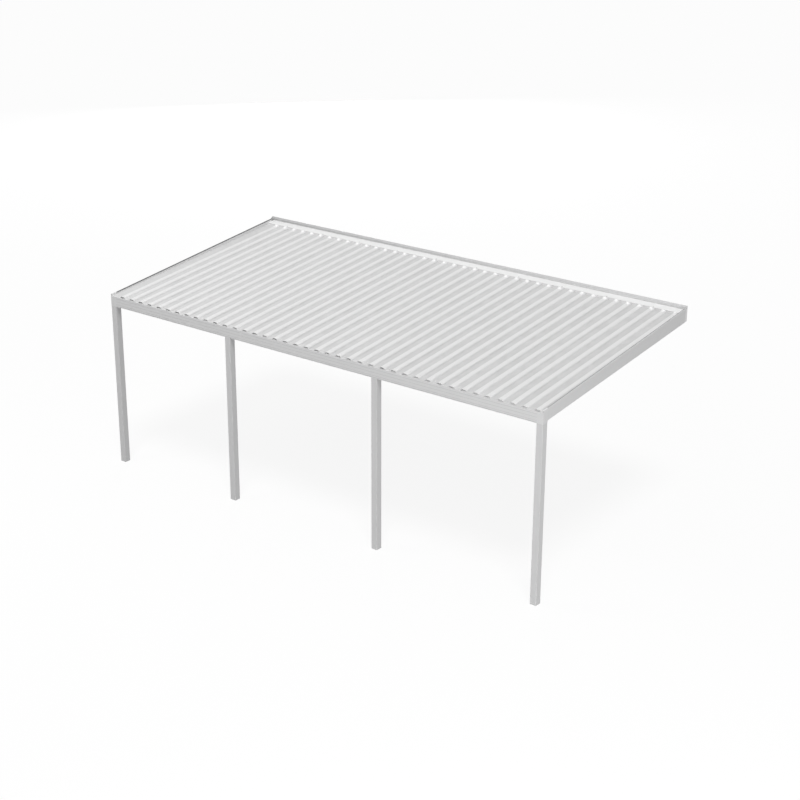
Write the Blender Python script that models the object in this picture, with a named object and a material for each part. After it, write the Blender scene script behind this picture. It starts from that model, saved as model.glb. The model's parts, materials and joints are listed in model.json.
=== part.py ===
"""Attached patio cover: ribbed sheet-metal roof pans between a wall hanger and a front beam on posts.

Metres, +Z up. X runs along the house wall and Y from the front of the cover towards the wall.
The origin is the centre of the wall hanger's back face, so the ground lies below it.
"""

import math

import bmesh
import bpy
from mathutils import Matrix

# Clearances
GAP = 0.0003
SLIDE_GAP = 0.002

# Overall layout
PROJECTION = 2.97
HEADROOM = 2.053
ROOF_PITCH = 1.17 / 12

# Roof pans: two ribs a pan, the right-hand one lapping over the next pan
PAN_COUNT = 20
RIBS_PER_PAN = 2
RIB_PITCH = 0.1524
FIRST_RIB_INSET = 0.197
LAST_RIB_INSET = 0.0724
SHEET = 0.0015
RIB_HEIGHT = 0.019
RIB_BASE = 0.076
RIB_CREST = 0.046
BEND_RADIUS = 0.009
BEND_STEPS = 4
PAN_LEG = 0.008
LEG_RADIUS = 0.003
LAP_LEG_INSET = 0.028
PAN_SETBACK = 0.004

# Posts, with the left faces of the two middle ones measured from the cover's left side
POST_SIZE = 0.080
POST_WALL = 0.003
POST_CORNER = 0.004
MIDDLE_POSTS = (1.87, 4.015)

# Front beam, a hollow extrusion with grooves along its face
BEAM_HEIGHT = 0.125
BEAM_WALL = 0.003
GROOVE_HEIGHTS = (0.009, 0.028, 0.0635, 0.099)
GROOVE_WIDTH = 0.004
GROOVE_DEPTH = 0.0015

# Side fascias, with hems as high as the crests that rise towards the wall, and the caps and seals beside them
FASCIA_WALL = 0.003
FASCIA_HEM = 0.006
FASCIA_HEM_DEPTH = 0.009
FASCIA_SHOULDER = 0.004
FASCIA_SPLAY = 0.0118
FASCIA_RISE = 0.015
FASCIA_LEDGE = 0.040
FASCIA_FLANGE = 0.040
FASCIA_RETURN = 0.010
CAP_PROUD = 0.004
SEAL_WIDTH = 0.009

# Wall hanger, its ends and the flashing over the pans' back ends
HANGER_HEIGHT = 0.184
HANGER_DEPTH = 0.040
HANGER_WALL = 0.003
HANGER_RETURN = 0.010
HOOK_DEPTH = 0.010
HOOK_DROP = 0.026
END_CAP_WALL = 0.003
PAN_END_GAP = 0.005
FLASHING_DEPTH = 0.120
FLASHING_SHEET = 0.0015
FLASHING_COVE = 0.004
FLASHING_HEEL = 0.0055

# Closure strip that fills the valleys under the flashing
STRIP_THICKNESS = 0.002
STRIP_DEPTH = 0.025
STRIP_SETBACK = 0.003
TOOTH_RAMP = 0.008
TOOTH_CLEARANCE = 0.003

# Finish
PAINT_ROUGHNESS = 0.4
PAN_PAINT = (0.80, 0.80, 0.81, 1)
BEAM_PAINT = (0.72, 0.72, 0.73, 1)
POST_PAINT = (0.70, 0.70, 0.71, 1)
FASCIA_PAINT = (0.68, 0.68, 0.69, 1)
HANGER_PAINT = (0.74, 0.74, 0.75, 1)
STRIP_COLOUR = (0.82, 0.82, 0.82, 1)
SEAL_COLOUR = (0.26, 0.26, 0.27, 1)

# Values worked out from the driving dimensions
RIB_COUNT = PAN_COUNT * RIBS_PER_PAN
COVER_WIDTH = FIRST_RIB_INSET + (RIB_COUNT - 1) * RIB_PITCH + LAST_RIB_INSET
LEFT_SIDE = -COVER_WIDTH / 2
RIGHT_SIDE = COVER_WIDTH / 2
FRONT = -PROJECTION
HANGER_BOTTOM = -HANGER_HEIGHT / 2
HANGER_TOP = HANGER_HEIGHT / 2
BEAM_BOTTOM = HANGER_BOTTOM - FASCIA_RISE - ROOF_PITCH * PROJECTION
GROUND = BEAM_BOTTOM - HEADROOM
CREST_TOP = RIB_HEIGHT + SHEET
CAP_TOP = CREST_TOP + CAP_PROUD
HEM_FOOT = CREST_TOP - FASCIA_HEM_DEPTH
SHELF_FOOT = HEM_FOOT - FASCIA_WALL
CAP_BOTTOM = -BEAM_HEIGHT - GAP
FASCIA_BOTTOM = CAP_BOTTOM + FASCIA_RISE
SEAL_INNER = FASCIA_HEM + GAP + SEAL_WIDTH
SIDES = (("left", -1), ("right", 1))
WELD = 0.000001


def pan_plane(y):
    """Height of the pans' underside at a distance y from the wall."""
    return BEAM_BOTTOM + BEAM_HEIGHT + GAP + ROOF_PITCH * (y - FRONT)


def hem_lift(y):
    """How much further a fascia's hem stands over the pans at y than it does at the front."""
    return FASCIA_SPLAY * (y - FRONT - POST_SIZE)


def rib_centre(index):
    return LEFT_SIDE + FIRST_RIB_INSET + index * RIB_PITCH


def turned_corner(before, corner, after, radius):
    """Points of the arc that rounds one corner of a line."""
    start = math.atan2(corner[1] - before[1], corner[0] - before[0])
    turn = math.atan2(after[1] - corner[1], after[0] - corner[0]) - start
    turn = (turn + math.pi) % (2 * math.pi) - math.pi
    reach = radius * math.tan(abs(turn) / 2)
    side = math.copysign(1, turn)
    first = (corner[0] - reach * math.cos(start), corner[1] - reach * math.sin(start))
    centre = (
        first[0] - side * radius * math.sin(start),
        first[1] + side * radius * math.cos(start),
    )
    points = []
    for step in range(BEND_STEPS + 1):
        angle = start + turn * step / BEND_STEPS
        points.append(
            (
                centre[0] + side * radius * math.sin(angle),
                centre[1] - side * radius * math.cos(angle),
            )
        )
    return points


def bent_line(corners, radii):
    """An open line whose inner corners are rounded, each to its own radius."""
    points = [corners[0]]
    for index, radius in enumerate(radii, start=1):
        points += turned_corner(corners[index - 1], corners[index], corners[index + 1], radius)
    return points + [corners[-1]]


def offset_line(points, distance):
    """The line moved to its left by a distance, mitred at its corners."""
    moved = []
    for index, point in enumerate(points):
        before = points[max(index - 1, 0)]
        after = points[min(index + 1, len(points) - 1)]
        if index == 0:
            before = (2 * point[0] - after[0], 2 * point[1] - after[1])
        if index == len(points) - 1:
            after = (2 * point[0] - before[0], 2 * point[1] - before[1])
        into = math.atan2(point[1] - before[1], point[0] - before[0])
        out = math.atan2(after[1] - point[1], after[0] - point[0])
        half_turn = ((out - into + math.pi) % (2 * math.pi) - math.pi) / 2
        reach = distance / math.cos(half_turn)
        middle = into + half_turn
        moved.append((point[0] - reach * math.sin(middle), point[1] + reach * math.cos(middle)))
    return moved


def sheet_outline(line, thickness):
    """Closed outline of bent sheet that has the line on its right-hand face."""
    return line + offset_line(line, thickness)[::-1]


def rounded_square(size, radius):
    half = size / 2
    inner = half - radius
    points = []
    for corner in range(4):
        start = math.radians(90 * corner)
        centre_angle = start + math.radians(45)
        centre_x = math.copysign(inner, math.cos(centre_angle))
        centre_y = math.copysign(inner, math.sin(centre_angle))
        for step in range(BEND_STEPS + 1):
            angle = start + math.radians(90) * step / BEND_STEPS
            points.append((centre_x + radius * math.cos(angle), centre_y + radius * math.sin(angle)))
    return points


def extruded(name, outlines, length, matrix, colour):
    """One named piece: flat outlines given a length and placed by a matrix. A second outline is a hole."""
    curve = bpy.data.curves.new(name, "CURVE")
    curve.dimensions = "2D"
    curve.fill_mode = "BOTH"
    curve.extrude = length / 2
    for outline in outlines:
        spline = curve.splines.new("POLY")
        spline.points.add(len(outline) - 1)
        for point, (x, y) in zip(spline.points, outline):
            point.co = (x, y, 0, 1)
        spline.use_cyclic_u = True
    guide = bpy.data.objects.new(name + "_outline", curve)
    parts.objects.link(guide)
    graph = bpy.context.evaluated_depsgraph_get()
    mesh = bpy.data.meshes.new_from_object(guide.evaluated_get(graph))
    bpy.data.objects.remove(guide)
    bpy.data.curves.remove(curve)
    mesh.name = name
    mesh.transform(matrix)
    shape = bmesh.new()
    shape.from_mesh(mesh)
    bmesh.ops.remove_doubles(shape, verts=shape.verts, dist=WELD)
    bmesh.ops.recalc_face_normals(shape, faces=shape.faces)
    shape.to_mesh(mesh)
    shape.free()
    return finished(name, mesh, colour)


def finished(name, mesh, colour):
    """Links a mesh as a named piece with its own painted-metal material."""
    material = bpy.data.materials.new(name)
    material.use_nodes = True
    shader = material.node_tree.nodes["Principled BSDF"]
    shader.inputs["Base Color"].default_value = colour
    shader.inputs["Roughness"].default_value = PAINT_ROUGHNESS
    shader.inputs["Metallic"].default_value = 0.0
    mesh.materials.clear()
    mesh.materials.append(material)
    piece = bpy.data.objects.new(name, mesh)
    parts.objects.link(piece)
    return piece


def along_wall(middle_x):
    """Places a (Y, Z) outline so that its length runs along the wall."""
    return Matrix(((0, 0, 1, middle_x), (1, 0, 0, 0), (0, 1, 0, 0), (0, 0, 0, 1)))


def down_the_roof(middle_y):
    """Places an (X, height over the pans) outline so that its length follows the pitch, with plumb ends."""
    return Matrix(
        (
            (1, 0, 0, 0),
            (0, 0, -1, middle_y),
            (0, 1, -ROOF_PITCH, pan_plane(middle_y)),
            (0, 0, 0, 1),
        )
    )


def roof_run(name, outline, front_y, back_y, colour):
    length = back_y - front_y
    return extruded(name, [outline], length, down_the_roof((front_y + back_y) / 2), colour)


def side_outline(distances, side):
    """Turns (distance in from the cover's side, height) points into X and height for one side."""
    return [(side * (RIGHT_SIDE - inward), height) for inward, height in distances]


def shoulder(top):
    """The (distance in, height) points of the rounded corner along a side's top edge."""
    return turned_corner((0, 0), (0, top), (FASCIA_HEM, top), FASCIA_SHOULDER)


def pan_receiver():
    """The (distance in, height) points of the inner leg and shelf that cover the pans' outer edge."""
    leg = SEAL_INNER - FASCIA_WALL
    foot = SHEET + GAP
    return [(SEAL_INNER, foot), (leg, foot), (leg, SHELF_FOOT), (FASCIA_WALL, SHELF_FOOT)]


def splay(piece):
    """Lifts a piece's hem and shelf over the pans, more and more towards the wall."""
    for vertex in piece.data.vertices:
        if vertex.co.z > pan_plane(vertex.co.y) + SHELF_FOOT - GAP / 2:
            vertex.co.z += hem_lift(vertex.co.y)


def make_posts():
    left_faces = (0, *MIDDLE_POSTS, COVER_WIDTH - POST_SIZE)
    height = HEADROOM - GAP
    outline = rounded_square(POST_SIZE, POST_CORNER)
    bore = rounded_square(POST_SIZE - 2 * POST_WALL, POST_CORNER - POST_WALL)
    for number, left_face in enumerate(left_faces, start=1):
        place = Matrix.Translation(
            (
                LEFT_SIDE + left_face + POST_SIZE / 2,
                FRONT + POST_SIZE / 2,
                GROUND + height / 2,
            )
        )
        extruded(f"post_{number}", [outline, bore], height, place, POST_PAINT)


def make_front_beam():
    back = FRONT + POST_SIZE
    top_front = pan_plane(FRONT) - GAP
    top_back = pan_plane(back) - GAP
    face = [(FRONT, BEAM_BOTTOM)]
    for height in GROOVE_HEIGHTS:
        low = BEAM_BOTTOM + height - GROOVE_WIDTH / 2
        high = low + GROOVE_WIDTH
        face += [(FRONT, low), (FRONT + GROOVE_DEPTH, low), (FRONT + GROOVE_DEPTH, high), (FRONT, high)]
    outline = face + [(FRONT, top_front), (back, top_back), (back, BEAM_BOTTOM)]
    bore = [
        (FRONT + BEAM_WALL, BEAM_BOTTOM + BEAM_WALL),
        (FRONT + BEAM_WALL, top_front - BEAM_WALL),
        (back - BEAM_WALL, top_back - BEAM_WALL),
        (back - BEAM_WALL, BEAM_BOTTOM + BEAM_WALL),
    ]
    length = COVER_WIDTH - 2 * (POST_SIZE + GAP)
    extruded("front_beam", [outline, bore], length, along_wall(0), BEAM_PAINT)


def make_corner_caps():
    """Hollow boxes on the end posts, open below, which close the beam's ends and the pans' front corners."""
    back = FRONT + POST_SIZE
    section = [
        (0, CAP_BOTTOM),
        *shoulder(CAP_TOP),
        (SEAL_INNER, CAP_TOP),
        *pan_receiver(),
        (FASCIA_WALL, -GAP),
        (POST_SIZE, -GAP),
        (POST_SIZE, CAP_BOTTOM),
    ]
    hollow = POST_SIZE - 2 * FASCIA_WALL
    hollow_top = pan_plane(FRONT) - GAP - FASCIA_WALL
    hollow_bottom = BEAM_BOTTOM - POST_SIZE
    for side_name, side in SIDES:
        name = f"front_corner_cap_{side_name}"
        cap = roof_run(name, side_outline(section, side), FRONT, back, BEAM_PAINT)
        for vertex in cap.data.vertices:
            if vertex.co.z < BEAM_BOTTOM + BEAM_HEIGHT / 2:
                vertex.co.z = BEAM_BOTTOM
        bpy.ops.mesh.primitive_cube_add(size=1)
        cutter = bpy.context.object
        cutter.name = name + "_hollow"
        cutter.data.transform(Matrix.Diagonal((hollow, hollow, hollow_top - hollow_bottom, 1)))
        cutter.location = (
            side * (RIGHT_SIDE - POST_SIZE / 2),
            FRONT + POST_SIZE / 2,
            (hollow_top + hollow_bottom) / 2,
        )
        cutter.hide_render = True
        cutter.display_type = "WIRE"
        for home in list(cutter.users_collection):
            home.objects.unlink(cutter)
        cutters.objects.link(cutter)
        cut = cap.modifiers.new("hollow", "BOOLEAN")
        cut.operation = "DIFFERENCE"
        cut.solver = "EXACT"
        cut.object = cutter


def make_side_fascias():
    section = [
        (0, FASCIA_BOTTOM),
        *shoulder(CREST_TOP),
        (FASCIA_HEM, CREST_TOP),
        (FASCIA_HEM, HEM_FOOT),
        (SEAL_INNER, HEM_FOOT),
        *pan_receiver(),
        (FASCIA_WALL, -GAP),
        (FASCIA_LEDGE, -GAP),
        (FASCIA_LEDGE, -GAP - FASCIA_WALL),
        (FASCIA_WALL, -GAP - FASCIA_WALL),
        (FASCIA_WALL, FASCIA_BOTTOM + FASCIA_WALL),
        (FASCIA_FLANGE - FASCIA_WALL, FASCIA_BOTTOM + FASCIA_WALL),
        (FASCIA_FLANGE - FASCIA_WALL, FASCIA_BOTTOM + FASCIA_RETURN),
        (FASCIA_FLANGE, FASCIA_BOTTOM + FASCIA_RETURN),
        (FASCIA_FLANGE, FASCIA_BOTTOM),
    ]
    front_end = FRONT + POST_SIZE + GAP
    back_end = -HANGER_DEPTH - GAP
    for side_name, side in SIDES:
        name = f"side_fascia_{side_name}"
        splay(roof_run(name, side_outline(section, side), front_end, back_end, FASCIA_PAINT))


def make_side_seals():
    """Strips on each fascia's shelf, along the inner side of its hem and as high as the hem."""
    section = [
        (FASCIA_HEM + GAP, HEM_FOOT + GAP),
        (FASCIA_HEM + GAP, CREST_TOP),
        (SEAL_INNER, CREST_TOP),
        (SEAL_INNER, HEM_FOOT + GAP),
    ]
    front_end = FRONT + POST_SIZE + GAP
    for side_name, side in SIDES:
        name = f"side_seal_{side_name}"
        splay(roof_run(name, side_outline(section, side), front_end, -HANGER_DEPTH, SEAL_COLOUR))


def make_wall_hanger():
    """Channel on the wall: a ledge under the pans, a stiffened bottom flange, and a hook along its top."""
    face = -HANGER_WALL
    edge = -HANGER_DEPTH
    outline = [
        (0, HANGER_BOTTOM),
        (0, HANGER_TOP),
        (-HOOK_DEPTH, HANGER_TOP),
        (-HOOK_DEPTH, HANGER_TOP - HOOK_DROP),
        (-HOOK_DEPTH + HANGER_WALL, HANGER_TOP - HOOK_DROP),
        (-HOOK_DEPTH + HANGER_WALL, HANGER_TOP - HANGER_WALL),
        (face, HANGER_TOP - HANGER_WALL),
        (face, pan_plane(face) - GAP),
        (edge, pan_plane(edge) - GAP),
        (edge, pan_plane(edge) - GAP - HANGER_WALL),
        (face, pan_plane(face) - GAP - HANGER_WALL),
        (face, HANGER_BOTTOM + HANGER_WALL),
        (edge + HANGER_WALL, HANGER_BOTTOM + HANGER_WALL),
        (edge + HANGER_WALL, HANGER_BOTTOM + HANGER_RETURN),
        (edge, HANGER_BOTTOM + HANGER_RETURN),
        (edge, HANGER_BOTTOM),
    ]
    length = COVER_WIDTH - 2 * (END_CAP_WALL + GAP)
    extruded("wall_hanger", [outline], length, along_wall(0), HANGER_PAINT)


def make_hanger_end_caps():
    """Plates that follow the hanger's own section, down from its hook to the fascia's top."""
    outline = [
        (0, HANGER_BOTTOM),
        (0, HANGER_TOP),
        (-HOOK_DEPTH, HANGER_TOP),
        (-HANGER_DEPTH, pan_plane(-HANGER_DEPTH) + CREST_TOP + hem_lift(-HANGER_DEPTH)),
        (-HANGER_DEPTH, HANGER_BOTTOM),
    ]
    for side_name, side in SIDES:
        place = along_wall(side * (RIGHT_SIDE - END_CAP_WALL / 2))
        extruded(f"hanger_end_cap_{side_name}", [outline], END_CAP_WALL, place, HANGER_PAINT)


def make_rear_flashing():
    """Bent sheet that covers the pans' back ends and turns up at the hanger's plate."""
    lift = CREST_TOP + GAP + STRIP_THICKNESS + GAP
    edge = -FLASHING_DEPTH
    heel = -HANGER_WALL - GAP
    foot = pan_plane(heel) + lift
    line = bent_line(
        [(edge, pan_plane(edge) + lift), (heel, foot), (heel, foot + FLASHING_HEEL)],
        [FLASHING_COVE],
    )
    length = COVER_WIDTH - 2 * (SEAL_INNER + SLIDE_GAP)
    outline = sheet_outline(line, FLASHING_SHEET)
    extruded("rear_flashing", [outline], length, along_wall(0), HANGER_PAINT)


def make_closure_strip():
    """Comb on the crests, with a tooth in each valley that ramps down in front of the flashing."""
    underside = CREST_TOP + GAP
    top = underside + STRIP_THICKNESS
    tooth_foot = SHEET + GAP
    end = RIGHT_SIDE - SEAL_INNER - SLIDE_GAP
    outline = [(-end, top), (-end, tooth_foot)]
    for index in range(RIB_COUNT):
        rib = rib_centre(index)
        outline += [
            (rib - RIB_BASE / 2 - TOOTH_CLEARANCE, tooth_foot),
            (rib - RIB_CREST / 2 - TOOTH_CLEARANCE, underside),
            (rib + RIB_CREST / 2 + TOOTH_CLEARANCE, underside),
            (rib + RIB_BASE / 2 + TOOTH_CLEARANCE, tooth_foot),
        ]
    outline += [(end, tooth_foot), (end, top)]
    front = -FLASHING_DEPTH + STRIP_SETBACK
    strip = roof_run("rear_closure_strip", outline, front, front + STRIP_DEPTH, STRIP_COLOUR)
    for vertex in strip.data.vertices:
        if vertex.co.y < front + STRIP_DEPTH / 2:
            depth = top - (vertex.co.z - pan_plane(vertex.co.y))
            run = TOOTH_RAMP * depth / (top - tooth_foot)
            vertex.co.y -= run
            vertex.co.z -= ROOF_PITCH * run


def rib_corners(centre):
    return [
        (centre - RIB_BASE / 2, 0),
        (centre - RIB_CREST / 2, RIB_HEIGHT),
        (centre + RIB_CREST / 2, RIB_HEIGHT),
        (centre + RIB_BASE / 2, 0),
    ]


def make_roof_pans():
    """Pans side by side: each starts with a leg inside the last pan's rib, and its last rib laps the next."""
    front_end = FRONT + PAN_SETBACK
    back_end = -HANGER_WALL - PAN_END_GAP
    lap_height = SHEET + GAP
    lap_run = (RIB_BASE - RIB_CREST) / 2 * lap_height / RIB_HEIGHT
    for number in range(PAN_COUNT):
        first_rib = rib_centre(number * RIBS_PER_PAN)
        leg = first_rib - RIB_PITCH + LAP_LEG_INSET - RIB_BASE / 2
        if number == 0:
            leg = LEFT_SIDE + FASCIA_WALL + SLIDE_GAP
        corners = [(leg, PAN_LEG), (leg, 0)]
        radii = [LEG_RADIUS]
        for index in range(RIBS_PER_PAN):
            corners += rib_corners(first_rib + index * RIB_PITCH)
            radii += [BEND_RADIUS] * 4
        if number == PAN_COUNT - 1:
            edge = RIGHT_SIDE - FASCIA_WALL - SLIDE_GAP
            corners += [(edge, 0), (edge, PAN_LEG)]
            radii.append(LEG_RADIUS)
        else:
            last_x = corners[-1][0]
            corners[-1] = (last_x - lap_run, lap_height)
            radii.pop()
        outline = sheet_outline(bent_line(corners, radii), SHEET)
        roof_run(f"roof_pan_{number + 1:02d}", outline, front_end, back_end, PAN_PAINT)


for old in list(bpy.data.objects):
    bpy.data.objects.remove(old)

parts = bpy.data.collections.new("patio_cover")
cutters = bpy.data.collections.new("cutters")
bpy.context.scene.collection.children.link(parts)
bpy.context.scene.collection.children.link(cutters)

make_posts()
make_front_beam()
make_corner_caps()
make_side_fascias()
make_side_seals()
make_wall_hanger()
make_hanger_end_caps()
make_rear_flashing()
make_closure_strip()
make_roof_pans()
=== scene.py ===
"""Looks of the attached patio cover: its white paints, its fasteners and a plain pale studio."""

import json
import math

import bmesh
import bpy
from mathutils import Matrix, Vector


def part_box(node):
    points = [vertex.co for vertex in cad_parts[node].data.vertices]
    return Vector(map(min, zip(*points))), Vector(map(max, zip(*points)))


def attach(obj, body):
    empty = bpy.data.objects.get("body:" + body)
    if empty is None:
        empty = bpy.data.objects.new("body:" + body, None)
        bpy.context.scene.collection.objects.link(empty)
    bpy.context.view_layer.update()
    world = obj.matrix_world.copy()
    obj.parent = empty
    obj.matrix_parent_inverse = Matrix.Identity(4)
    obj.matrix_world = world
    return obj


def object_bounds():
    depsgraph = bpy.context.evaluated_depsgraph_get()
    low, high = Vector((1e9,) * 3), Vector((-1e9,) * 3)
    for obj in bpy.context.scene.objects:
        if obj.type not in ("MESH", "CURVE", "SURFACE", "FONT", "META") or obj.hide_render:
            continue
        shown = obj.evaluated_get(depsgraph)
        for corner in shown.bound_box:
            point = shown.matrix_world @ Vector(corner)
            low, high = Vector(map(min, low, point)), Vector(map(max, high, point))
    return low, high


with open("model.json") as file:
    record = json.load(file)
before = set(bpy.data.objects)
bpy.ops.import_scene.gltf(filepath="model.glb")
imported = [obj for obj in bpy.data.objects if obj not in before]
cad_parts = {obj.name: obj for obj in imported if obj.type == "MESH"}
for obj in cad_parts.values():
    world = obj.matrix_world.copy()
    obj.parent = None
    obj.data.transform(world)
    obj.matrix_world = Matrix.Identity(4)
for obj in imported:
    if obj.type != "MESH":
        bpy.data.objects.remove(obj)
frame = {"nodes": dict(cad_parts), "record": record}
cad_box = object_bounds()
beam_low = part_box("front_beam")[0]
roof_low, roof_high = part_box("roof_pan_05")
flashing_low, flashing_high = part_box("rear_flashing")

# Camera, solved from the photograph, in the row's frame
CAMERA_PLACE = (11.2085, -16.0154, 5.8759)
CAMERA_PAN = 0.6495
CAMERA_TILT = 0.37457
CAMERA_ROLL = 0.00497
CAMERA_REACH = 400
FOCAL_PIXELS = 1647.45
PHOTO_PIXELS = 800
SENSOR_MM = 36

# Light, at levels where 1 lights a surface to its written colour
SKY_LEVEL = 0.35
SUN_LEVEL = 0.53
SUN_ELEVATION = math.radians(64)
SUN_BEARING = math.radians(38)
SUN_SPREAD = math.radians(18)
LAMP_SIZE = 4.0

# Place and level of each lamp
LAMPS = {
    "key": ((8.0, -11.0, -0.9), 0.40),
    "side": ((12.0, -5.0, -0.9), 0.13),
    "fill": ((-5.0, -7.0, 5.0), 0.115),
    "rear": ((-16.0, 16.0, -1.2), 0.40),
}

# Floor: the colour that lights the object, and the one that shows its shadow
FLOOR_REACH = 120
FLOOR_COLOUR = (0.15, 0.15, 0.15, 1)
FLOOR_SHADE = (0.95, 0.95, 0.95, 1)
FLOOR_SHADOW_SHARE = 0.12

# Colours
WHITE = (1, 1, 1, 1)
PAN_WHITE = (0.800, 0.800, 0.800)
FLASHING_WHITE = (0.930, 0.930, 0.930)
BEAM_WHITE = (0.780, 0.780, 0.782)
CAP_WHITE = (0.780, 0.780, 0.782)
FASCIA_WHITE = (0.767, 0.767, 0.769)
POST_WHITE = (0.710, 0.710, 0.713)
HANGER_WHITE = (0.900, 0.900, 0.902)
FOAM_WHITE = (0.750, 0.750, 0.750)
DOME_WHITE = (0.940, 0.940, 0.940)
# Dark grey rubber of the side seals, whose darkness also stands in as painted shade along the fascias'
# inner tops
SEAL_GREY_AND_PAINTED_SHADE = (0.190, 0.190, 0.193)
WASHER_GREY = (0.330, 0.330, 0.333)
SEALANT_WHITE = (0.700, 0.700, 0.695)

# Share of the light that dust and painted shade in the valleys take, at the cover's left and right
# sides
VALLEY_DUST_AND_SHADE = (0.165, 0.195)

# Shares of the light that the painted light and shade on the other parts give back, at the cover's left
# and right sides: under 1 is painted shade, over 1 painted light
HOOK_PAINTED_SHADE = (0.63, 0.78)
PLATE_PAINTED_LIGHT_AND_SHADE = (0.60, 1.02)
HEM_PAINTED_SHADE = (0.42, 0.85)
SEAL_PAINTED_LIGHT_AND_SHADE = (0.80, 1.90)

# The hook's foot under the hanger's top, and how softly its painted shade ends there
HOOK_DROP = 0.026
HOOK_EDGE = 0.001

# Painted shade in the beam's grooves: its strength, and its range behind the face and over the foot
GROOVE_PAINTED_SHADE = 0.20
LOW_GROOVE_PAINTED_SHADE = 0.36
GROOVE_MOUTH = (0.0002, 0.0008)
GROOVE_FLOOR = (0.0016, 0.0020)
BEAM_FOOT = (0.003, 0.005)
LOW_GROOVE_TOP = (0.014, 0.020)

# Range of a normal's Z in which a face begins to take dust and painted shade
UPWARD = (0.05, 0.4)

# Stretches of grain, streaks and patches along X, Y and Z
ACROSS = (0.6, 90, 90)
UPRIGHT = (90, 90, 0.6)
DOWN_ROOF = (90, 0.6, 90)
PAN_STREAKS = (34, 0.9, 34)
PAN_PATCHES = (1, 0.55, 1)
PAN_EMBOSS = (1, 0.8, 1)
FLASHING_STREAKS = (0.7, 24, 24)

# Sizes that the part's source sets, in metres
PANS = 20
POSTS = 4
SHEET = 0.0015
CREST_TOP = 0.0205
RIB_HEIGHT = 0.019
RIB_BASE = 0.076
RIB_CREST = 0.046
FIRST_RIB_INSET = 0.197
HANGER_WALL = 0.003
LEDGE_THICKNESS = 0.003
PIECE_GAP = 0.0003
ROOF_PITCH = (roof_high.z - CREST_TOP - roof_low.z) / (roof_high.y - roof_low.y)
RIB_PITCH = (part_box("roof_pan_03")[0].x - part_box("roof_pan_02")[0].x) / 2

# Washer-head screws
SEAT_GAP = 0.0002
HEX_ACROSS = 0.008
HEX_HEIGHT = 0.0042
HEX_BEVEL = 0.0006
HEX_SIDES = 6
FLANGE_RADIUS = 0.0068
FLANGE_HEIGHT = 0.0012
RUBBER_RADIUS = 0.0075
RUBBER_HEIGHT = 0.0013

# Profiles of the screws, as shares of the radius and of the height
HEX_DISH = 1 - HEX_BEVEL / HEX_HEIGHT
RUBBER_PROFILE = ((0, 0), (1, 0), (1, 0.6), (0.95, 1), (0, 1))
FLANGE_PROFILE = ((0, 0), (1, 0), (1, 0.5), (0.85, 1), (0, 1))
HEX_PROFILE = ((0, 0), (1, 0), (1, HEX_DISH), (0.88, 1), (0.55, 1), (0.45, HEX_DISH), (0, HEX_DISH))

# Places of the screws
BEAM_SCREW_LINE = -2.93
FLASHING_SCREW_LINE = -0.105
FLASHING_SCREW_STEP = 4
LAG_END_INSET = 0.12
LAG_PITCH = 0.4064
LAG_LINE = -0.045
LAG_SCALE = 1.5
POST_SCREW_INSET = 0.045
POST_SCREW_SPREAD = 0.018
LEDGE_SCREWS = 7
LEDGE_SCREW_INSET = 0.026
LEDGE_SCREW_START = 0.20
LEDGE_SCREW_PITCH = 0.42
FACING_FRONT = Matrix.Rotation(math.radians(90), 4, "X")
FACING_WALL = Matrix.Rotation(math.radians(-90), 4, "X")
FACING_DOWN = Matrix.Rotation(math.radians(180), 4, "X")

# Dome caps over the ribs
DOME_LINE = -0.1515
DOME_RADIUS = 0.030
DOME_HEIGHT = 0.021
DOME_SKIRT = 0.009
DOME_RIM = 0.0022
DOME_WALL_SHARE = 0.96
DOME_LIP_SHARE = 0.6
DOME_ARCS = 9

# Foam plugs in the ribs' front ends, whose setback goes from its first value at the left to its last
PLUG_SETBACKS = (0.030, 0.009)
PLUG_DEPTH = 0.020
PLUG_CLEARANCE = 0.0006
PLUG_INSET = 0.0035
NOTCH_INSET = 0.0065
NOTCH_WIDTH = 0.0060
NOTCH_TOP = 0.0095

# Bead of sealant, with the size, turn and start of each ripple along its steps
BEAD_RADIUS = 0.003
BEAD_STEP = 0.012
BEAD_SIDES = 8
BEAD_END_SHARE = 0.5
BEAD_RIPPLES = ((0.10, 1.7, 0), (0.06, 0.53, 1))

# Meshes
TURN_STEPS = 24
SHARP_ANGLE = math.radians(40)


# Shader nodes

def new_node(tree, kind, **values):
    """A new node with plain values in its sockets, an underscore standing for a space in a name."""
    node = tree.nodes.new(kind)
    for name, value in values.items():
        node.inputs[name.replace("_", " ")].default_value = value
    return node


def calc(tree, operation, first, second):
    """Arithmetic on two values, each a socket or a plain number."""
    node = tree.nodes.new("ShaderNodeMath")
    node.operation = operation
    for value, socket in zip((first, second), node.inputs):
        if isinstance(value, (int, float)):
            socket.default_value = value
        else:
            tree.links.new(value, socket)
    return node.outputs[0]


def product(tree, total, *factors):
    for factor in factors:
        total = calc(tree, "MULTIPLY", total, factor)
    return total


def what_is_left(tree, share):
    """What a share leaves of 1."""
    return calc(tree, "SUBTRACT", 1.0, share)


def spread(tree, value, low, high, start=0.0, end=1.0, smooth=False):
    """Takes a value from the range start to end into the range low to high."""
    ranges = {"From_Min": start, "From_Max": end, "To_Min": low, "To_Max": high}
    node = new_node(tree, "ShaderNodeMapRange", **ranges)
    node.interpolation_type = "SMOOTHSTEP" if smooth else "LINEAR"
    tree.links.new(value, node.inputs["Value"])
    return node.outputs["Result"]


def place_of(tree, stretch=(1, 1, 1)):
    """Where a point is on the object, in metres, each axis multiplied by its stretch."""
    coordinates = tree.nodes.new("ShaderNodeTexCoord")
    mapping = new_node(tree, "ShaderNodeMapping", Scale=stretch)
    tree.links.new(coordinates.outputs["Object"], mapping.inputs["Vector"])
    return mapping.outputs["Vector"]


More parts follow.
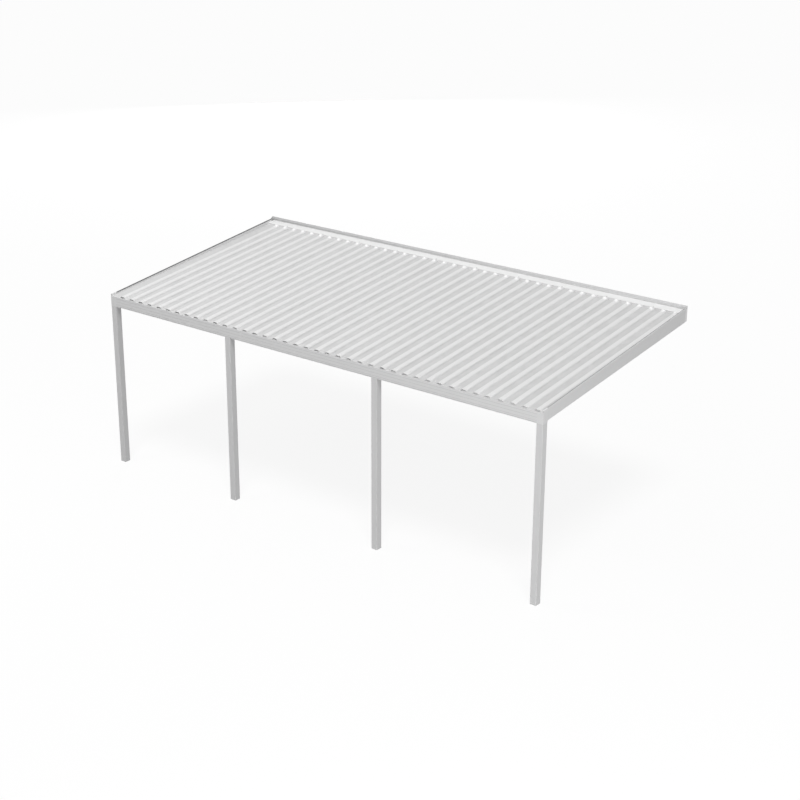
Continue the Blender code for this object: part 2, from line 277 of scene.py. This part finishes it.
def axes_of(tree, place):
    """The X, Y and Z sockets of a place."""
    split = tree.nodes.new("ShaderNodeSeparateXYZ")
    tree.links.new(place, split.inputs[0])
    return split.outputs


def noise(tree, place, scale, detail):
    node = new_node(tree, "ShaderNodeTexNoise", Scale=scale, Detail=detail)
    tree.links.new(place, node.inputs["Vector"])
    return node.outputs["Fac"]


def varied(tree, place, scale, detail, low, high, start=0.0, end=1.0):
    """Noise over the surface, brought from the range start to end into the range low to high."""
    return spread(tree, noise(tree, place, scale, detail), low, high, start, end)


def cells(tree, place, scale):
    node = new_node(tree, "ShaderNodeTexVoronoi", Scale=scale)
    tree.links.new(place, node.inputs["Vector"])
    return node.outputs["Distance"]


def tinted(tree, colour, share):
    """The colour, darkened or lightened by a share that varies over the surface."""
    node = tree.nodes.new("ShaderNodeVectorMath")
    node.operation = "SCALE"
    node.inputs[0].default_value = colour
    tree.links.new(share, node.inputs["Scale"])
    return node.outputs[0]


def relief(tree, height, depth, strength, under=None):
    """Bump of a real depth in metres, over other bump if that is given."""
    node = new_node(tree, "ShaderNodeBump", Strength=strength, Distance=depth)
    tree.links.new(height, node.inputs["Height"])
    if under is not None:
        tree.links.new(under, node.inputs["Normal"])
    return node.outputs["Normal"]


def new_material(name):
    """A new material, with its node tree and its shader."""
    material = bpy.data.materials.new(name)
    material.use_nodes = True
    tree = material.node_tree
    return material, tree, tree.nodes["Principled BSDF"]


def finish_shader(tree, shader, colour, roughness, normal):
    tree.links.new(colour, shader.inputs["Base Color"])
    tree.links.new(roughness, shader.inputs["Roughness"])
    tree.links.new(normal, shader.inputs["Normal"])


def clear_coat(shader, weight, roughness):
    shader.inputs["Coat Weight"].default_value = weight
    shader.inputs["Coat Roughness"].default_value = roughness


# Painted light and shade, and dust

def across_cover(tree, shares):
    """A share that changes evenly from the cover's left side to its right."""
    x = axes_of(tree, place_of(tree))["X"]
    return spread(tree, x, *shares, cad_box[0].x, cad_box[1].x)


def facing_up(tree):
    """1 on what faces the sky, 0 on what faces sideways or down."""
    geometry = tree.nodes.new("ShaderNodeNewGeometry")
    up = axes_of(tree, geometry.outputs["Normal"])["Z"]
    return spread(tree, up, 0, 1, *UPWARD)


def height_over_pans(tree, place):
    """Height of a point over the plane of the pans' undersides."""
    axes = axes_of(tree, place)
    run = calc(tree, "SUBTRACT", axes["Y"], roof_low.y)
    rise = calc(tree, "MULTIPLY", run, ROOF_PITCH)
    return calc(tree, "SUBTRACT", calc(tree, "SUBTRACT", axes["Z"], roof_low.z), rise)


def groove_painted_shade(tree):
    """Share of the light that the beam gives back: painted shade in its grooves, deepest in the lowest
    one.
    """
    axes = axes_of(tree, place_of(tree))
    depth = calc(tree, "SUBTRACT", axes["Y"], beam_low.y)
    height = calc(tree, "SUBTRACT", axes["Z"], beam_low.z)
    entered = spread(tree, depth, 0, 1, *GROOVE_MOUTH)
    not_past = spread(tree, depth, 1, 0, *GROOVE_FLOOR)
    above_foot = spread(tree, height, 0, 1, *BEAM_FOOT)
    strength = spread(tree, height, LOW_GROOVE_PAINTED_SHADE, GROOVE_PAINTED_SHADE, *LOW_GROOVE_TOP)
    return what_is_left(tree, product(tree, entered, not_past, above_foot, strength))


def hanger_painted_light_and_shade(tree):
    """Share of the light that the hanger gives back: painted shade, deepest at the cover's left, on the
    hook and on the plate under it, turning to painted light on the plate at the right.
    """
    level = cad_box[1].z - HOOK_DROP
    on_hook = spread(tree, axes_of(tree, place_of(tree))["Z"], 0, 1, level - HOOK_EDGE, level)
    hook = product(tree, across_cover(tree, HOOK_PAINTED_SHADE), on_hook)
    plate = product(tree, across_cover(tree, PLATE_PAINTED_LIGHT_AND_SHADE), what_is_left(tree, on_hook))
    return calc(tree, "ADD", hook, plate)


def hem_painted_shade(tree):
    """Share of the light that a fascia gives back: less on the top of its hem, as painted shade, most
    at the cover's left.
    """
    lost = what_is_left(tree, across_cover(tree, HEM_PAINTED_SHADE))
    return what_is_left(tree, product(tree, facing_up(tree), lost))


# Materials

def powder_coat(name, colour, grain, painted_light_and_shade=None):
    """Satin powder coat on an extrusion, with faint die lines along its grain, and any painted light
    and shade given.
    """
    material, tree, shader = new_material(name)
    place = place_of(tree)
    along = place_of(tree, grain)
    cloud = varied(tree, place, scale=2.3, detail=3, low=0.985, high=1.015)
    lines = varied(tree, along, scale=1.0, detail=3, low=0.985, high=1.015)
    speck = varied(tree, place, scale=240, detail=1, low=0.992, high=1.008)
    share = product(tree, cloud, lines, speck)
    if painted_light_and_shade is not None:
        share = product(tree, share, painted_light_and_shade(tree))
    dull = varied(tree, place, scale=9, detail=3, low=0.38, high=0.50)
    peel = relief(tree, noise(tree, place, scale=420, detail=2), depth=0.00012, strength=0.5)
    die_lines = noise(tree, along, scale=1.0, detail=2)
    normal = relief(tree, die_lines, depth=0.0002, strength=0.25, under=peel)
    finish_shader(tree, shader, tinted(tree, colour, share), dull, normal)
    clear_coat(shader, weight=0.10, roughness=0.35)
    return material


def pan_enamel(name, colour):
    """Baked enamel on embossed sheet, with a thin film of dust and painted shade that lies thickest in
    the valleys.
    """
    material, tree, shader = new_material(name)
    place = place_of(tree)
    depth = spread(tree, height_over_pans(tree, place), 1, 0, SHEET, CREST_TOP, smooth=True)
    patch_place = place_of(tree, PAN_PATCHES)
    patches = varied(tree, patch_place, scale=11, detail=4, low=0.80, high=1.20, start=0.3, end=0.7)
    # Dust and painted shade: deepest in the valleys, in patches, on faces that look up, and a little
    # more at the cover's right
    dust_and_shade_mask = product(tree, depth, patches, facing_up(tree))
    dust_and_painted_shade = what_is_left(tree, product(tree, dust_and_shade_mask, across_cover(tree, VALLEY_DUST_AND_SHADE)))
    cloud = varied(tree, place, scale=1.7, detail=3, low=0.99, high=1.01)
    streak_place = place_of(tree, PAN_STREAKS)
    streak = varied(tree, streak_place, scale=1.0, detail=3, low=0.985, high=1.015)
    share = product(tree, cloud, streak, dust_and_painted_shade)
    dull = spread(tree, dust_and_shade_mask, low=0.36, high=0.60)
    bumps = cells(tree, place_of(tree, PAN_EMBOSS), scale=150)
    emboss = relief(tree, bumps, depth=0.0003, strength=0.35)
    waves = noise(tree, place, scale=26, detail=2)
    normal = relief(tree, waves, depth=0.0008, strength=0.3, under=emboss)
    finish_shader(tree, shader, tinted(tree, colour, share), dull, normal)
    clear_coat(shader, weight=0.12, roughness=0.30)
    return material


def flat_enamel(name, colour):
    """Baked enamel on flat bent sheet, with the faint waves that a brake leaves."""
    material, tree, shader = new_material(name)
    place = place_of(tree)
    along = place_of(tree, FLASHING_STREAKS)
    cloud = varied(tree, place, scale=4, detail=4, low=0.98, high=1.02)
    streak = varied(tree, along, scale=1.0, detail=3, low=0.985, high=1.015)
    share = product(tree, cloud, streak)
    dull = varied(tree, place, scale=12, detail=2, low=0.34, high=0.46)
    waves = relief(tree, noise(tree, place, scale=6, detail=2), depth=0.002, strength=0.25)
    peel = noise(tree, place, scale=380, detail=2)
    normal = relief(tree, peel, depth=0.0001, strength=0.5, under=waves)
    finish_shader(tree, shader, tinted(tree, colour, share), dull, normal)
    clear_coat(shader, weight=0.12, roughness=0.25)
    return material


def foam(name, colour):
    """Closed-cell foam: matt, with a skin of small cells."""
    material, tree, shader = new_material(name)
    place = place_of(tree)
    cell = cells(tree, place, scale=420)
    cloud = varied(tree, place, scale=14, detail=3, low=0.97, high=1.03)
    share = product(tree, spread(tree, cell, low=0.90, high=1.03), cloud)
    dull = varied(tree, place, scale=60, detail=2, low=0.82, high=0.95)
    normal = relief(tree, cell, depth=0.0006, strength=0.7)
    finish_shader(tree, shader, tinted(tree, colour, share), dull, normal)
    return material


def sponge_rubber(name, colour, painted_light_and_shade_across=None):
    """Sponge rubber: matt, finely pitted, in paler patches, and if given, with painted shade at the
    cover's left turning to painted light at its right.
    """
    material, tree, shader = new_material(name)
    place = place_of(tree)
    pit = cells(tree, place, scale=650)
    bloom = varied(tree, place, scale=7, detail=4, low=0.90, high=1.12, start=0.3, end=0.7)
    share = product(tree, spread(tree, pit, low=0.85, high=1.08), bloom)
    if painted_light_and_shade_across is not None:
        share = product(tree, share, across_cover(tree, painted_light_and_shade_across))
    dull = varied(tree, place, scale=40, detail=2, low=0.72, high=0.92)
    normal = relief(tree, pit, depth=0.0004, strength=0.7)
    finish_shader(tree, shader, tinted(tree, colour, share), dull, normal)
    return material


def gloss_plastic(name, colour):
    """Moulded plastic of the dome caps and the fasteners' painted heads."""
    material, tree, shader = new_material(name)
    place = place_of(tree)
    share = varied(tree, place, scale=45, detail=2, low=0.985, high=1.015)
    dull = varied(tree, place, scale=90, detail=2, low=0.18, high=0.30)
    normal = relief(tree, noise(tree, place, scale=500, detail=1), depth=0.00008, strength=0.4)
    finish_shader(tree, shader, tinted(tree, colour, share), dull, normal)
    return material


def sealant(name, colour):
    """Tooled bead of silicone: smooth with slow ripples and a little dirt."""
    material, tree, shader = new_material(name)
    place = place_of(tree)
    share = varied(tree, place, scale=18, detail=4, low=0.90, high=1.05)
    dull = varied(tree, place, scale=30, detail=2, low=0.35, high=0.55)
    normal = relief(tree, noise(tree, place, scale=55, detail=2), depth=0.0006, strength=0.4)
    finish_shader(tree, shader, tinted(tree, colour, share), dull, normal)
    return material


# Studio

def mixed(tree, share, first, second):
    """A shader that goes from the first to the second with a share, a socket or a plain number."""
    mix = tree.nodes.new("ShaderNodeMixShader")
    if isinstance(share, float):
        mix.inputs[0].default_value = share
    else:
        tree.links.new(share, mix.inputs[0])
    tree.links.new(first.outputs[0], mix.inputs[1])
    tree.links.new(second.outputs[0], mix.inputs[2])
    return mix


def seen_ray(tree):
    """1 for a ray from the camera, or for one that gloss or glass sends on, else 0."""
    path = tree.nodes.new("ShaderNodeLightPath")
    total = path.outputs["Is Camera Ray"]
    for name in ("Is Glossy Ray", "Is Transmission Ray"):
        total = calc(tree, "MAXIMUM", total, path.outputs[name])
    return total


def make_camera():
    data = bpy.data.cameras.new("camera")
    data.sensor_width = SENSOR_MM
    data.lens = FOCAL_PIXELS * SENSOR_MM / PHOTO_PIXELS
    data.clip_end = CAMERA_REACH
    camera = bpy.data.objects.new("camera", data)
    bpy.context.scene.collection.objects.link(camera)
    turn = Matrix.Rotation(CAMERA_PAN, 4, "Z")
    raise_up = Matrix.Rotation(math.radians(90) - CAMERA_TILT, 4, "X")
    roll = Matrix.Rotation(CAMERA_ROLL, 4, "Z")
    camera.matrix_world = Matrix.Translation(CAMERA_PLACE) @ turn @ raise_up @ roll
    bpy.context.scene.camera = camera


def make_world():
    """A sky that lights the object softly and shows as white."""
    world = bpy.data.worlds.new("studio")
    bpy.context.scene.world = world
    world.use_nodes = True
    tree = world.node_tree
    tree.nodes.clear()
    light = new_node(tree, "ShaderNodeBackground", Color=WHITE, Strength=SKY_LEVEL)
    seen = new_node(tree, "ShaderNodeBackground", Color=WHITE, Strength=1)
    out = tree.nodes.new("ShaderNodeOutputWorld")
    tree.links.new(mixed(tree, seen_ray(tree), light, seen).outputs[0], out.inputs[0])


def soft_lamp(name, place, level):
    """Disc lamp aimed at the cover's near corner, where it gives a level of light."""
    near_corner = Vector((cad_box[1].x, cad_box[0].y, 0))
    way = near_corner - Vector(place)
    light = bpy.data.lights.new(name, "AREA")
    light.shape = "DISK"
    light.size = LAMP_SIZE
    light.energy = level * math.pi**2 * way.length_squared
    lamp = bpy.data.objects.new(name, light)
    lamp.location = place
    lamp.rotation_euler = way.to_track_quat("-Z", "Y").to_euler()
    bpy.context.scene.collection.objects.link(lamp)


def make_lights():
    sun = bpy.data.lights.new("overhead", "SUN")
    sun.energy = SUN_LEVEL * math.pi
    sun.angle = SUN_SPREAD
    overhead = bpy.data.objects.new("overhead", sun)
    tip = Matrix.Rotation(math.radians(90) - SUN_ELEVATION, 4, "X")
    overhead.matrix_world = Matrix.Rotation(SUN_BEARING, 4, "Z") @ tip
    bpy.context.scene.collection.objects.link(overhead)
    for name, (place, level) in LAMPS.items():
        soft_lamp(name, place, level)


def make_floor():
    """A floor that lights the object as a dull one does, and shows as white with a faint shadow."""
    bpy.ops.mesh.primitive_plane_add(size=2 * FLOOR_REACH, location=(0, 0, cad_box[0].z))
    floor = bpy.context.object
    floor.name = "floor"
    material = bpy.data.materials.new("floor")
    material.use_nodes = True
    tree = material.node_tree
    tree.nodes.clear()
    pale = new_node(tree, "ShaderNodeBsdfDiffuse", Color=FLOOR_COLOUR)
    lit = new_node(tree, "ShaderNodeBsdfDiffuse", Color=FLOOR_SHADE)
    white = new_node(tree, "ShaderNodeEmission", Color=WHITE, Strength=1)
    seen = mixed(tree, 1 - FLOOR_SHADOW_SHARE, lit, white)
    out = tree.nodes.new("ShaderNodeOutputMaterial")
    tree.links.new(mixed(tree, seen_ray(tree), pale, seen).outputs[0], out.inputs[0])
    floor.data.materials.append(material)


# Places on the roof

def pan_plane(y):
    """Height of the pans' undersides at a distance y from the wall."""
    return roof_low.z + ROOF_PITCH * (y - roof_low.y)


def on_roof(x, y, height):
    """Place of a fastener square to the roof, its foot a height over the pans' undersides."""
    tip = Matrix.Rotation(math.atan(ROOF_PITCH), 4, "X")
    return Matrix.Translation((x, y, pan_plane(y) + height)) @ tip


def rib_centre(index):
    return cad_box[0].x + FIRST_RIB_INSET + index * RIB_PITCH


# Shapes of the small pieces

def turned(shape, profile, place, steps=TURN_STEPS, material=0):
    """Adds a turned solid with a profile of (radius, height) points, its first and last on the axis."""
    rings = []
    for radius, height in profile:
        if radius == 0:
            rings.append([shape.verts.new(place @ Vector((0, 0, height)))])
            continue
        ring = []
        for step in range(steps):
            angle = 2 * math.pi * step / steps
            point = Vector((radius * math.cos(angle), radius * math.sin(angle), height))
            ring.append(shape.verts.new(place @ point))
        rings.append(ring)
    for low, high in zip(rings, rings[1:]):
        for step in range(steps):
            after = (step + 1) % steps
            if len(low) == 1:
                corners = [low[0], high[after], high[step]]
            elif len(high) == 1:
                corners = [low[step], low[after], high[0]]
            else:
                corners = [low[step], low[after], high[after], high[step]]
            face = shape.faces.new(corners)
            face.material_index = material
            face.smooth = True


def prism(shape, outline, front, back):
    """Adds a solid between two places along Y, its outline in (X, height over the pans' undersides)."""
    rings = []
    for y in (front, back):
        rings.append([shape.verts.new((x, y, pan_plane(y) + height)) for x, height in outline])
    count = len(outline)
    for corner in range(count):
        after = (corner + 1) % count
        shape.faces.new([rings[0][corner], rings[0][after], rings[1][after], rings[1][corner]])
    shape.faces.new(rings[0])
    shape.faces.new(rings[1][::-1])


def sized(profile, radius, height, foot):
    """A profile of shares, brought to its radius and height and set on its foot."""
    return [(out * radius, foot + up * height) for out, up in profile]


def hex_screw(shape, place):
    """Washer-head screw: rubber washer, painted flange and a hexagonal head with a dished top."""
    corner = HEX_ACROSS / 2 / math.cos(math.pi / HEX_SIDES)
    washer = sized(RUBBER_PROFILE, RUBBER_RADIUS, RUBBER_HEIGHT, 0)
    flange = sized(FLANGE_PROFILE, FLANGE_RADIUS, FLANGE_HEIGHT, RUBBER_HEIGHT)
    head = sized(HEX_PROFILE, corner, HEX_HEIGHT, RUBBER_HEIGHT + FLANGE_HEIGHT)
    turned(shape, washer, place, material=1)
    turned(shape, flange, place)
    turned(shape, head, place, steps=HEX_SIDES)


def screws(places):
    shape = bmesh.new()
    for place in places:
        hex_screw(shape, place)
    return shape


def pan_screw_places():
    """One in the middle valley of each pan, down into the front beam."""
    for pan in range(PANS):
        yield on_roof(rib_centre(2 * pan) + RIB_PITCH / 2, BEAM_SCREW_LINE, SHEET + SEAT_GAP)


def flashing_screw_places():
    """On the flashing, over one rib in every four."""
    top = flashing_low.z - pan_plane(flashing_low.y) + SHEET
    for index in range(1, 2 * PANS, FLASHING_SCREW_STEP):
        yield on_roof(rib_centre(index), FLASHING_SCREW_LINE, top + SEAT_GAP)


def hanger_screw_places():
    """Lag screws through the hanger's plate into the wall, under the ledge."""
    face = -HANGER_WALL - SEAT_GAP
    reach = cad_box[1].x - LAG_END_INSET
    steps = round(2 * reach / LAG_PITCH)
    for index in range(steps + 1):
        x = -reach + 2 * reach * index / steps
        yield Matrix.Translation((x, face, LAG_LINE)) @ FACING_FRONT @ Matrix.Scale(LAG_SCALE, 4)


def post_screw_places():
    """Two on the rear face of each post's head and foot, into the brackets inside."""
    for number in range(1, POSTS + 1):
        low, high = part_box(f"post_{number}")
        x = (low.x + high.x) / 2
        for z in (low.z + POST_SCREW_INSET, high.z - POST_SCREW_INSET):
            for offset in (-POST_SCREW_SPREAD, POST_SCREW_SPREAD):
                yield Matrix.Translation((x + offset, high.y + SEAT_GAP, z)) @ FACING_WALL


def ledge_screw_places():
    """Up through the side fascias' ledges into the pans."""
    for side in (-1, 1):
        x = side * (cad_box[1].x - LEDGE_SCREW_INSET)
        for index in range(LEDGE_SCREWS):
            y = cad_box[0].y + LEDGE_SCREW_START + index * LEDGE_SCREW_PITCH
            foot = pan_plane(y) - PIECE_GAP - LEDGE_THICKNESS - SEAT_GAP
            yield Matrix.Translation((x, y, foot)) @ FACING_DOWN


def dome_cap(shape, place):
    """Dome that fits over a rib, with a skirt down its sides and a thin rim along the skirt."""
    low = -DOME_SKIRT
    lip = low + DOME_RIM * DOME_LIP_SHARE
    rim = low + DOME_RIM
    foot = DOME_RADIUS * DOME_WALL_SHARE
    profile = [(0, low), (DOME_RADIUS, low), (DOME_RADIUS, lip), (foot, rim)]
    for step in range(1, DOME_ARCS):
        angle = math.radians(90) * step / DOME_ARCS
        profile.append((foot * math.cos(angle), rim + (DOME_HEIGHT - rim) * math.sin(angle)))
    profile.append((0, DOME_HEIGHT))
    turned(shape, profile, place)


def dome_caps():
    """One over each rib, in front of the flashing."""
    shape = bmesh.new()
    for index in range(2 * PANS):
        dome_cap(shape, on_roof(rib_centre(index), DOME_LINE, CREST_TOP + SEAT_GAP))
    return shape


def front_plugs():
    """Foam plugs inside the ribs' front ends, notched over the leg of the next pan in a lapped rib."""
    shape = bmesh.new()
    foot = SHEET + PLUG_CLEARANCE
    top = RIB_HEIGHT - PLUG_CLEARANCE
    first, last = PLUG_SETBACKS
    for index in range(2 * PANS):
        x = rib_centre(index)
        front = roof_low.y + first + (last - first) * index / (2 * PANS - 1)
        outline = [
            (x - RIB_BASE / 2 + PLUG_INSET, foot),
            (x - RIB_CREST / 2 + PLUG_INSET, top),
            (x + RIB_CREST / 2 - PLUG_INSET, top),
            (x + RIB_BASE / 2 - PLUG_INSET, foot),
        ]
        lapped = index % 2 == 1 and index < 2 * PANS - 1
        if lapped:
            right, left = x - NOTCH_INSET, x - NOTCH_INSET - NOTCH_WIDTH
            outline += [(right, foot), (right, NOTCH_TOP), (left, NOTCH_TOP), (left, foot)]
        prism(shape, outline, front, front + PLUG_DEPTH)
    return shape


def heel_bead():
    """Tooled bead of sealant with slow ripples, where the flashing's heel meets the hanger."""
    shape = bmesh.new()
    y = -HANGER_WALL - BEAD_RADIUS
    start = Vector((flashing_low.x, y, flashing_high.z))
    run = Vector((flashing_high.x, y, flashing_high.z)) - start
    up = Vector((0, 0, 1))
    side = run.normalized().cross(up)
    steps = round(run.length / BEAD_STEP)
    rings = []
    for step in range(steps + 1):
        middle = start + run * step / steps
        ripple = 1 + sum(size * math.sin(step * turn + begin) for size, turn, begin in BEAD_RIPPLES)
        radius = BEAD_RADIUS * (ripple if 0 < step < steps else BEAD_END_SHARE)
        ring = []
        for corner in range(BEAD_SIDES):
            angle = 2 * math.pi * corner / BEAD_SIDES
            offset = side * (radius * math.cos(angle)) + up * (radius * math.sin(angle))
            ring.append(shape.verts.new(middle + offset))
        rings.append(ring)
    for low, high in zip(rings, rings[1:]):
        for corner in range(BEAD_SIDES):
            after = (corner + 1) % BEAD_SIDES
            shape.faces.new([low[corner], low[after], high[after], high[corner]]).smooth = True
    shape.faces.new(rings[0])
    shape.faces.new(rings[-1])
    return shape


def joined_piece(name, shape, materials):
    """Makes one object of a shape and lets it ride on the cover."""
    bmesh.ops.recalc_face_normals(shape, faces=shape.faces)
    mesh = bpy.data.meshes.new(name)
    shape.to_mesh(mesh)
    shape.free()
    mesh.set_sharp_from_angle(angle=SHARP_ANGLE)
    for material in materials:
        mesh.materials.append(material)
    piece = bpy.data.objects.new(name, mesh)
    bpy.context.scene.collection.objects.link(piece)
    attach(piece, "root")


bpy.context.scene.view_settings.view_transform = "Standard"
make_camera()
make_world()
make_lights()
make_floor()

finishes = {
    "roof_pan": pan_enamel("roof_pan", PAN_WHITE),
    "beam": powder_coat("beam", BEAM_WHITE, ACROSS, groove_painted_shade),
    "corner_cap": powder_coat("corner_cap", CAP_WHITE, DOWN_ROOF),
    "fascia": powder_coat("fascia", FASCIA_WHITE, DOWN_ROOF, hem_painted_shade),
    "post": powder_coat("post", POST_WHITE, UPRIGHT),
    "hanger": powder_coat("hanger", HANGER_WHITE, ACROSS, hanger_painted_light_and_shade),
    "flashing": flat_enamel("flashing", FLASHING_WHITE),
    "closure": foam("closure", FOAM_WHITE),
    "side_seal": sponge_rubber("side_seal", SEAL_GREY_AND_PAINTED_SHADE, SEAL_PAINTED_LIGHT_AND_SHADE),
}
for part in frame["record"]["subparts"]:
    node = frame["nodes"][part["node"]]
    node.data.materials.clear()
    node.data.materials.append(finishes[part["material_slot"]])

dome_looks = [gloss_plastic("dome_plastic", DOME_WHITE)]
screw_looks = [gloss_plastic("screw_paint", PAN_WHITE), sponge_rubber("washer_rubber", WASHER_GREY)]
bead_looks = [sealant("bead_silicone", SEALANT_WHITE)]
joined_piece("rib_end_domes", dome_caps(), dome_looks)
joined_piece("pan_screws", screws(pan_screw_places()), screw_looks)
joined_piece("flashing_screws", screws(flashing_screw_places()), screw_looks)
joined_piece("hanger_screws", screws(hanger_screw_places()), screw_looks)
joined_piece("post_screws", screws(post_screw_places()), screw_looks)
joined_piece("ledge_screws", screws(ledge_screw_places()), screw_looks)
joined_piece("heel_sealant", heel_bead(), bead_looks)
joined_piece("front_foam_plugs", front_plugs(), [finishes["closure"]])
